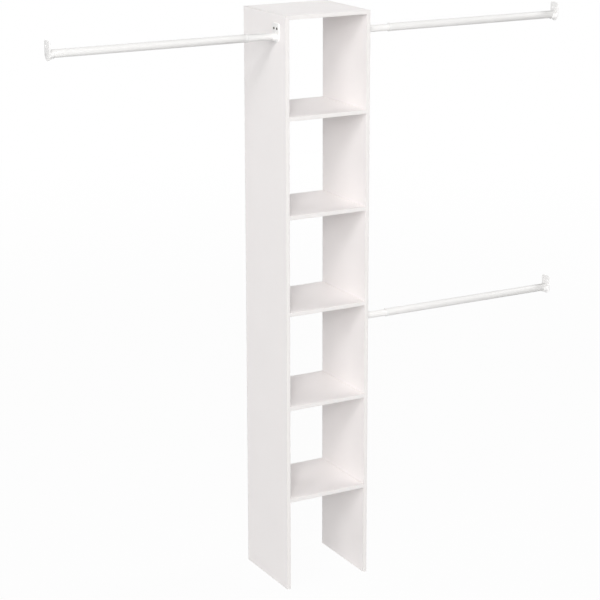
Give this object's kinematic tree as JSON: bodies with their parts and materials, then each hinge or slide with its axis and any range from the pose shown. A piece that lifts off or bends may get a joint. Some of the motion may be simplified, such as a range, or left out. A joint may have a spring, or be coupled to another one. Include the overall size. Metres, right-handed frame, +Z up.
{
  "type": "closet organizer",
  "caption": "Tall narrow open-backed closet tower of white laminate shelves, carrying telescoping hang rods in flanges on both sides that reach out to the closet's walls.",
  "frame": {"origin": "on the floor at the centre of the tower's base, which is also the middle of the overall width with the rods set alike", "axes": "+Z up, +X to the right as seen from the front, +Y towards the back wall"},
  "size_m": [1.8288, 0.285, 1.9152],
  "materials": {
    "white_laminate": "satin white laminate on particle board",
    "white_edge_band": "satin white edge band",
    "white_tube": "semi-gloss white enamel on steel tube",
    "white_flange": "semi-gloss white moulding",
    "white_collar": "semi-gloss white moulding",
    "zinc": "dull die-cast zinc",
    "plated_steel": "bright zinc plate",
    "screw_steel": "dull plated steel",
    "dowel_wood": "bare beech"
  },
  "bodies": {
    "tower": {"cam_bolts": "plated_steel", "cam_locks": "zinc", "dowels": "dowel_wood", "flange_screws": "screw_steel", "left_panel_edge_band": "white_edge_band", "left_side_panel": "white_laminate", "lower_right_inner_tube": "white_tube", "lower_right_tower_flange": "white_flange", "right_panel_edge_band": "white_edge_band", "right_side_panel": "white_laminate", "shelf_1": "white_laminate", "shelf_1_edge_band": "white_edge_band", "shelf_2": "white_laminate", "shelf_2_edge_band": "white_edge_band", "shelf_3": "white_laminate", "shelf_3_edge_band": "white_edge_band", "shelf_4": "white_laminate", "shelf_4_edge_band": "white_edge_band", "shelf_5": "white_laminate", "shelf_5_edge_band": "white_edge_band", "top_panel": "white_laminate", "top_panel_edge_band": "white_edge_band", "upper_left_inner_tube": "white_tube", "upper_left_tower_flange": "white_flange", "upper_right_inner_tube": "white_tube", "upper_right_tower_flange": "white_flange", "wall_angle_screws": "plated_steel", "wall_angles": "plated_steel"},
    "upper_left_sleeve": {"upper_left_collar": "white_collar", "upper_left_outer_tube": "white_tube", "upper_left_wall_flange": "white_flange"},
    "upper_right_sleeve": {"upper_right_collar": "white_collar", "upper_right_outer_tube": "white_tube", "upper_right_wall_flange": "white_flange"},
    "lower_right_sleeve": {"lower_right_collar": "white_collar", "lower_right_outer_tube": "white_tube", "lower_right_wall_flange": "white_flange"}
  },
  "joints": [
    {"name": "upper_left_slide", "type": "slide", "parent": "tower", "child": "upper_left_sleeve", "axis": [-1, 0, 0], "range_m": [-0.082, 0.457]},
    {"name": "upper_right_slide", "type": "slide", "parent": "tower", "child": "upper_right_sleeve", "axis": [1, 0, 0], "range_m": [-0.082, 0.457]},
    {"name": "lower_right_slide", "type": "slide", "parent": "tower", "child": "lower_right_sleeve", "axis": [1, 0, 0], "range_m": [-0.082, 0.457]}
  ]
}
